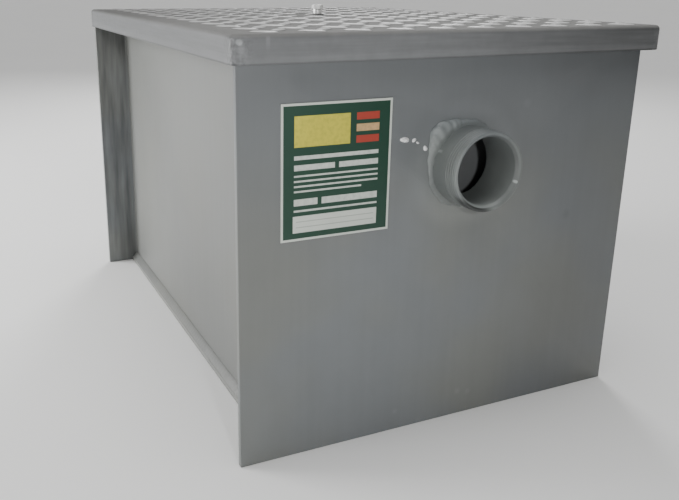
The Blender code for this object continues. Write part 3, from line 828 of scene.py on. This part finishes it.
# %% Turn the stub
PIPE_COLUMNS = 384
PIPE_TAIL = 0.0035
PIPE_REACH = 0.038
WELD_LEG = 0.0105
WELD_FLATNESS = 0.58
MOUTH_EDGE = 0.0009
THREAD_PITCH = 0.003175
THREAD_DEPTH = 0.0007
REAM_WIDTH = 0.0028
REAM_DEPTH = 0.0045
THREAD_LENGTH = 0.019
RIPPLES = 31
HEAP_ANGLE = 2.3
HEAP_SPREAD = 0.42


def weld_leg(turn):
    """The weld's leg round the pipe: slim at the left, heaped up at the upper left, where the torch
    lingered, and lumpy. Also gives how far up the heap each angle lies, from 0 to 1."""
    heap = np.exp(-((turn - HEAP_ANGLE) / HEAP_SPREAD) ** 2)
    lumps = 0.05 * np.sin(5 * turn + 1.0) + 0.04 * np.sin(11 * turn) + 0.03 * np.sin(23 * turn + 2)
    return WELD_LEG * (0.42 + 1.10 * heap + lumps), heap


def pipe_stub(name, side):
    """Radius and distance along the axis are functions of the angle and of a step along the profile, which
    runs through the plate, over the weld's fillet, along the pipe and its thread, round the mouth and back
    inside."""
    turn = np.linspace(0, 2 * math.pi, PIPE_COLUMNS, endpoint=False)[None, :]
    flat = np.zeros_like(turn)
    inner = PIPE_BORE_RADIUS
    tank_half = plate_face - (plate_high.y - plate_low.y)
    tail, foot, mouth = tank_half - PIPE_TAIL, plate_face + 0.0003, plate_face + PIPE_REACH

    def part(out, away):
        shape = np.broadcast(out, away, flat).shape
        return np.broadcast_to(out, shape), np.broadcast_to(away, shape)

    rise = np.linspace(0, math.pi / 2, 12)[:, None]
    leg, heap = weld_leg(turn)
    stroke = RIPPLES * turn / (2 * math.pi) + 0.35 * np.sin(2 * rise)
    stroke = stroke + 0.6 * np.sin(3 * turn) + 0.3 * np.sin(7 * turn)
    depth = 0.045 + 0.03 * np.sin(4 * turn + 0.5) + 0.10 * heap
    ripple = 1 - depth * (0.5 - 0.5 * np.cos(2 * math.pi * stroke)) * np.sin(2 * rise)
    flat_leg = WELD_FLATNESS * leg / WELD_LEG * (1 - 0.35 * heap)
    along_leg = WELD_LEG * (flat_leg + 0.05 * np.sin(17 * turn) * heap)
    bulge = 1.25 - 0.45 * heap
    weld_out = leg * np.cos(rise) ** bulge * ripple
    weld_along = along_leg * np.sin(rise) ** bulge * ripple
    fillet = part(PIPE_RADIUS + weld_out, foot + weld_along)
    start = mouth - THREAD_LENGTH
    along = np.linspace(start, mouth - MOUTH_EDGE, 64)[:, None]
    fade = np.clip((along - start) / 0.005, 0, 1) * np.clip((mouth - along) / 0.0015, 0, 1)
    phase = along / THREAD_PITCH - side * turn / (2 * math.pi)
    cut = THREAD_DEPTH * (0.5 + 0.5 * np.cos(2 * math.pi * phase)) * fade
    taper = (along - start) / 32
    thread = part(PIPE_RADIUS - taper - cut, along)
    crest = PIPE_RADIUS - THREAD_LENGTH / 32
    edge = np.linspace(0, math.pi / 2, 5)[:, None]
    lip_out = part(crest - MOUTH_EDGE * (1 - np.cos(edge)), mouth - MOUTH_EDGE * (1 - np.sin(edge)))
    reamed = np.array([
        [REAM_WIDTH + 0.0004, 0],
        [REAM_WIDTH, 0.0003],
        [0.0003, REAM_DEPTH - 0.0004],
        [0, REAM_DEPTH],
    ])
    lip_in = part(inner + reamed[:, :1], mouth - reamed[:, 1:])
    back = part(np.array([[inner], [inner + 0.0005]]), np.array([[tail + 0.0005], [tail]]))
    outer = part(np.array([[PIPE_RADIUS], [PIPE_RADIUS]]), np.array([[tail], [foot]]))
    segments = [outer, fillet, thread, lip_out, lip_in, back]
    radius = np.concatenate([segment[0] for segment in segments])
    away = np.concatenate([segment[1] for segment in segments])
    x = pipe_axis_x - side * radius * np.cos(turn)
    z = pipe_axis_z + radius * np.sin(turn)
    surface = Surface()
    surface.grid(stacked(x, side * away, z), wrap_rows=True, wrap_columns=True)
    return surface.mesh(name, smooth_angle=40)


for end, side in (("inlet", -1), ("outlet", 1)):
    name = f"{end}_pipe_stub"
    add_piece(name, pipe_stub(name, side), stub_enamel, [f"{end}_nipple"])

# %% [markdown]
# ## Spatter beside the weld
#
# Welding throws off drops that freeze on the plate. A bright run of them lies to the upper left of the stub.
# A drop is the cap of an ellipsoid, one small grid. Paint doesn't hold on a drop, so these are bare metal,
# and their near white colour is also a painted highlight.

# %% Freeze the drops
DROP_SECTORS = 20

# Drops: offset across and up from the pipe's axis in millimetres, half length, half width, height,
# tilt in degrees
DROPS = [
    (-70.5, 29.3, 5.4, 2.3, 1.8, -9),
    (-60.2, 28.2, 2.2, 1.8, 1.3, 50),
    (-56.0, 25.4, 1.7, 1.0, 0.8, -35),
    (-47.2, 19.4, 2.6, 2.2, 1.6, -35),
]


def drop(surface, across, up, half_length, half_width, height, tilt):
    """The cap of an ellipsoid that stands on the inlet plate, closed by its own foot."""
    turn = np.linspace(0, 2 * math.pi, DROP_SECTORS, endpoint=False)[None, :]
    rise = np.concatenate([[0.0], np.linspace(0, math.pi / 2, 8)])[:, None]
    spread = np.cos(rise) * (1 + 0.10 * np.sin(2 * turn + across) + 0.06 * np.sin(3 * turn + up))
    spread[0] = 0
    a, b = half_length * spread * np.cos(turn), half_width * spread * np.sin(turn)
    cos, sin = math.cos(math.radians(tilt)), math.sin(math.radians(tilt))
    x = pipe_axis_x + (across + a * cos - b * sin) / 1000
    z = pipe_axis_z + (up + a * sin + b * cos) / 1000
    y = -plate_face - 0.00005 - height * np.sin(rise) / 1000
    surface.grid(stacked(x, y, z), wrap_columns=True)


def bare_metal_painted_glint(name):
    finish = Finish(name, {"Metallic": 0.25})
    cloud = finish.noise(0.003)
    # Near white: the bare metal's paleness and a painted highlight.
    finish.set("Base Color", finish.shaded(opaque(1.0, 1.0, 1.0), 0.9 + cloud * 0.2))
    finish.set("Roughness", 0.22 + cloud * 0.1)
    return finish


spatter = Surface()
for one in DROPS:
    drop(spatter, *one)
add_piece("weld_spatter", spatter.mesh("weld_spatter"), bare_metal_painted_glint("bare_weld_metal_painted_glint"))

# %% [markdown]
# ## Plates with softened edges
#
# Sawn plate never has a razor edge: paint pulls back from it and leaves a narrow band that catches the
# light. A copy of each plate's solid, its triangles joined and its edges bevelled by less than a
# millimetre, gives that band.

# %% Soften the plates
EDGE_RADIUS = 0.0009


def softened(node, name, finish, radius=EDGE_RADIUS):
    mesh = nodes[node].data.copy()
    mesh.name = name
    work = bmesh.new()
    work.from_mesh(mesh)
    bmesh.ops.remove_doubles(work, verts=work.verts, dist=1e-5)
    bmesh.ops.dissolve_limit(work, angle_limit=math.radians(1), verts=work.verts, edges=work.edges)
    work.to_mesh(mesh)
    work.free()
    mesh.shade_smooth()
    piece = add_piece(name, mesh, finish, [node])
    bevel = piece.modifiers.new("softened_edges", "BEVEL")
    bevel.width = radius
    bevel.segments = 3
    bevel.limit_method = "ANGLE"
    bevel.angle_limit = math.radians(40)
    bevel.harden_normals = True
    return piece


softened("inlet_end_plate", "inlet_plate", plate_enamel)
softened("outlet_end_plate", "outlet_plate", flange_enamel)
softened("floor_plate", "base_plate", ledge_painted_light_enamel)
softened("left_side_wall", "left_wall", wall_enamel)
softened("right_side_wall", "right_wall", shell_enamel)
softened("data_label", "label_plate", label_finish, 0.00015)
softened("gasket", "rubber_gasket", rubber, 0.0007)
softened("hold_down_bar", "cross_bar", inner_enamel)
softened("hold_down_nut", "bar_nut", zinc, 0.0004)
for end in ("inlet", "outlet"):
    softened(f"{end}_rim_bar", f"{end}_rim", shell_enamel, 0.0006)
    softened(f"{end}_baffle", f"{end}_baffle_plate", inner_enamel, 0.0005)
    for hand in ("left", "right"):
        softened(f"{end}_guide_{hand}", f"{end}_channel_{hand}", inner_enamel, 0.0003)

# %% [markdown]
# ## Weld seams
#
# The side walls are welded to the end plates and to the floor plate's ledge. A seam is a fillet drawn along
# the corner between two plates. Ground and thickly painted, it shows only soft lumps, and along the ledge
# it is a broad slope.

# %% Lay the seams
SEAM_LEG = 0.0013
LEDGE_SLOPE = 0.0085
SEAM_STROKE = 0.0065
SEAM_ARC_STEPS = 8
SEAM_FLATNESS = 1.75
PLATE_GAP = 0.0001


def seam(surface, start, end, side_a, side_b, leg_a=SEAM_LEG, leg_b=SEAM_LEG, lumps=0.06):
    """A fillet from start to end in the corner between the directions side_a and side_b. Its face runs from
    one plate to the other as the cosine and sine of an angle to a power, which is nearly straight. It is
    closed by the corner itself and by a cap at each end."""
    start, end, side_a, side_b = (np.array(v, float) for v in (start, end, side_a, side_b))
    length = np.linalg.norm(end - start)
    rows = max(int(length / SEAM_STROKE * 6), 8)
    step = np.linspace(0, 1, rows)[:, None]
    turn = np.linspace(0, math.pi / 2, SEAM_ARC_STEPS)[None, :]
    stroke = step * length / SEAM_STROKE + 0.3 * np.sin(2 * turn)
    close = np.clip(np.minimum(step, 1 - step) * length / 0.004, 0, 1) ** 0.5
    wander = 1 + lumps * (np.sin(step * length * 61 + start[2] * 40) + 0.6 * np.sin(step * length * 170 + 2))
    swell = wander * (1 - lumps + lumps * np.cos(2 * math.pi * stroke)) * (0.15 + 0.85 * close)
    along_a = leg_a * swell * np.cos(turn) ** SEAM_FLATNESS
    along_b = leg_b * swell * np.sin(turn) ** SEAM_FLATNESS
    a = np.concatenate([np.zeros((rows, 1)), along_a], axis=1)[..., None]
    b = np.concatenate([np.zeros((rows, 1)), along_b], axis=1)[..., None]
    corner = (start + step * (end - start))[:, None, :]
    points = corner + (PLATE_GAP + a) * side_a + (PLATE_GAP + b) * side_b
    flip = np.dot(np.cross(side_a, side_b), end - start) < 0
    surface.grid(points, wrap_columns=True, flip=flip)
    for ring, reverse in ((points[0], not flip), (points[-1], flip)):
        fan = np.arange(1, len(ring) - 1)
        faces = np.stack([np.zeros_like(fan), fan, fan + 1], axis=1)
        surface.add(ring, faces[:, ::-1] if reverse else faces)


BODY_SETBACK = 0.045
wall_half = (plate_high.x - plate_low.x) / 2 - BODY_SETBACK


def shell_seams():
    """The slim seams up the corners and the broad ones along the ledges, as two surfaces."""
    surface, slopes = Surface(), Surface()
    ledge = floor_high.z
    inner_y = plate_face - (plate_high.y - plate_low.y)
    top = wall_high.z - 0.012
    ledge_width = floor_high.x - (bolt_axis + wall_half)
    for hand in (-1, 1):
        wall_x = bolt_axis + hand * wall_half
        for side in (-1, 1):
            foot = (wall_x, side * inner_y, ledge + 0.001)
            head = (wall_x, side * inner_y, top)
            seam(surface, foot, head, (hand, 0, 0), (0, -side, 0))
        start, end = (wall_x, -inner_y + 0.001, ledge), (wall_x, inner_y - 0.001, ledge)
        seam(slopes, start, end, (hand, 0, 0), (0, 0, 1), ledge_width - 0.0006, LEDGE_SLOPE, 0.012)
    return surface.mesh("seam_beads"), slopes.mesh("ledge_slopes")


seam_mesh, slope_mesh = shell_seams()
add_piece("seam_beads", seam_mesh, shell_enamel)
add_piece("ledge_slopes", slope_mesh, slope_enamel)

# %% [markdown]
# ## Bolt, collar and washer
#
# The head is a hexagon whose corners were chamfered on a lathe, so the chamfer is a cone cut by six flats.
# On a grid of angle and profile both are simple: the radius is the hexagon's own, and the top drops where
# it passes the cone.

# %% Turn the bolt
BOLT_COLUMNS = 96
RING_COLUMNS = 64
BOLT_RADIUS = 0.00395
BOLT_THREAD_PITCH = 0.00141
BOLT_THREAD_DEPTH = 0.00045
HEAD_FLATS = 0.0127
HEAD_HEIGHT = 0.0053
bolt_low, bolt_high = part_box("hold_down_bolt")
collar_low, collar_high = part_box("bolt_collar")


def turned(name, profile, columns, ring=True, smooth_angle=35):
    """A profile of radius and height, turned round the bolt's axis. Each may depend on the angle. A ring's
    profile is closed, and a solid's starts and ends on the axis."""
    turn = np.linspace(0, 2 * math.pi, columns, endpoint=False)[None, :]
    radius, height = profile(turn)
    surface = Surface()
    points = stacked(bolt_axis + radius * np.cos(turn), radius * np.sin(turn), height)
    surface.grid(points, wrap_rows=ring, wrap_columns=True)
    return surface.mesh(name, smooth_angle)


def bolt_profile(turn):
    """From the tip up the thread, out under the head, up the flats, over the chamfer and in to the
    middle."""
    sector = (turn + math.pi / 6) % (math.pi / 3) - math.pi / 6
    hexagon = HEAD_FLATS / 2 / np.cos(sector)
    base, top = bolt_high.z - HEAD_HEIGHT, bolt_high.z
    rise = np.linspace(bolt_low.z + 0.001, base - 0.0005, 180)[:, None]
    groove = 0.5 + 0.5 * np.cos(2 * math.pi * (rise / BOLT_THREAD_PITCH - turn / (2 * math.pi)))
    shank = BOLT_RADIUS - BOLT_THREAD_DEPTH * groove
    chamfer_fall = np.maximum(hexagon - HEAD_FLATS * 0.475, 0) * math.tan(math.radians(30))
    one = np.ones_like(turn)
    rows = [
        (0 * one, bolt_low.z * one),
        (BOLT_RADIUS * 0.72 * one, bolt_low.z * one),
        (shank, rise * one),
        (BOLT_RADIUS * one, base * one),
        (HEAD_FLATS * 0.47 * one, base * one),
        (HEAD_FLATS * 0.47 * one, (base + 0.0003) * one),
        (hexagon, (base + 0.0003) * one),
        (hexagon, top - 0.0002 - chamfer_fall),
        (HEAD_FLATS * 0.46 * one, (top - 0.0001) * one),
        (HEAD_FLATS * 0.44 * one, top * one),
        (0 * one, top * one),
    ]
    return np.concatenate([row[0] for row in rows]), np.concatenate([row[1] for row in rows])


def ring_profile(low, high, inner, outer, edge):
    """A flat ring with rounded outer edges."""
    def profile(turn):
        quarter = np.linspace(0, math.pi / 2, 5)
        lower = [(outer - edge + edge * math.sin(t), low + edge - edge * math.cos(t)) for t in quarter]
        upper = [(outer - edge + edge * math.cos(t), high - edge + edge * math.sin(t)) for t in quarter]
        path = np.array([(inner, low), *lower, *upper, (inner, high)])
        return path[:, 0, None] * np.ones_like(turn), path[:, 1, None] * np.ones_like(turn)
    return profile


collar_radius = (collar_high.x - collar_low.x) / 2
washer_profile = ring_profile(washer_low.z, washer_high.z, BOLT_RADIUS + 0.0003, washer_radius, 0.0005)
collar_profile = ring_profile(collar_low.z, collar_high.z, BOLT_RADIUS + 0.0003, collar_radius, 0.0008)
bolt_mesh = turned("zinc_bolt", bolt_profile, BOLT_COLUMNS, ring=False)
collar_mesh = turned("zinc_collar", collar_profile, RING_COLUMNS)
add_piece("zinc_bolt", bolt_mesh, zinc, ["hold_down_bolt"])
add_piece("zinc_collar", collar_mesh, zinc, ["bolt_collar"])
washer_mesh = turned("rubber_washer", washer_profile, RING_COLUMNS)
add_piece("rubber_washer", washer_mesh, paler_rubber, ["seal_washer"])

# %% [markdown]
# ## Floor and light
#
# The trap stands on a plain pale floor, a dish so wide that it looks flat and fills the horizon too. A broad
# soft box on the left, towards the rear, makes the side wall the palest face. An even sky overhead and a
# faint one on the left keep the floor pale. Behind the trap one lamp lights without gloss and one gives gloss
# alone: the second puts the glints on the cover's lugs. A low lamp in front on the left and a compact lamp
# beside the camera give the tone that falls to the right across the inlet plate, the sparks on the weld and
# the grey baffle that shows through the pipe. Painted light, shade and glints in the colours of the plates,
# the pipe stubs and the cover add to what the lamps give. The lamps themselves are hidden from every view.

# %% Lay the floor and hang the lights
FLOOR_RADIUS = 40.0
FLOOR_FLAT = 10.0
FLOOR_RISE = 7.5
FLOOR_COLUMNS = 64


def make_floor():
    """A round floor, flat near the trap, whose far rim rises as a parabola, so that it also fills the
    horizon."""
    turn = np.linspace(0, 2 * math.pi, FLOOR_COLUMNS, endpoint=False)[None, :]
    radius = np.array([0.0, 1.0, 4.0, 10.0, 14.0, 18.0, 22.0, 26.0, 30.0, 35.0, FLOOR_RADIUS])[:, None]
    height = FLOOR_RISE * (np.clip(radius - FLOOR_FLAT, 0, None) / (FLOOR_RADIUS - FLOOR_FLAT)) ** 2
    surface = Surface()
    surface.grid(stacked(radius * np.cos(turn), radius * np.sin(turn), height), wrap_columns=True, flip=True)
    mesh = surface.mesh("studio_floor")
    finish = Finish("pale_floor", {"Roughness": 0.8, "Specular IOR Level": 0.2})
    finish.set("Base Color", finish.shaded(opaque(0.92, 0.92, 0.91), 0.98 + finish.noise(0.8) * 0.04))
    mesh.materials.append(finish.material)
    floor = bpy.data.objects.new("studio_floor", mesh)
    bpy.context.scene.collection.objects.link(floor)


def hang(name, kind, towards, strength, place=(0, 0, 0), size=1.0, glossy=True, diffuse=True):
    """A lamp at a place that shines towards a point, a softbox or compact lamp of one size in metres. For a
    sun, which only has a direction and a spread in degrees, the place gives the direction it comes from."""
    data = bpy.data.lights.new(name, kind)
    data.energy = strength
    if kind == "SUN":
        data.angle = math.radians(size)
    else:
        data.size = size
    light = bpy.data.objects.new(name, data)
    light.location = place
    light.rotation_euler = (Vector(towards) - Vector(place)).to_track_quat("-Z", "Y").to_euler()
    light.visible_camera = False
    light.visible_glossy = glossy
    light.visible_diffuse = diffuse
    bpy.context.scene.collection.objects.link(light)


make_floor()
hang("left_softbox", "AREA", (0, 0, 0.2), 37.5, (-1.70, 0.90, 0.70), 1.0)
hang("overhead_sky", "SUN", (0, 0, 0), 1.74, (0, -0.02, 1.0), 50)
hang("left_sky", "SUN", (0, 0, 0), 0.30, (-1.0, 0, 1.0), 50)
hang("rear_window", "AREA", (0, 0, 0.4), 36.0, (0.9, 2.0, 1.6), 0.8, glossy=False)
hang("lug_glint", "AREA", (0, -0.1, 0.4), 7.0, (0.80, 1.40, 1.70), 0.8, diffuse=False)
hang("low_lamp", "AREA", (0, -0.30, 0.20), 0.47, (-0.55, -0.70, 0.15), 0.2)
hang("camera_lamp", "AREA", (0, -0.30, 0.30), 1.36, (-0.3218, -0.9612, 0.4737), 0.04)

world = bpy.data.worlds.new("studio_air")
world.use_nodes = True
world.node_tree.nodes["Background"].inputs["Color"].default_value = (1.0, 1.0, 1.0, 1.0)
world.node_tree.nodes["Background"].inputs["Strength"].default_value = 0.02
bpy.context.scene.world = world
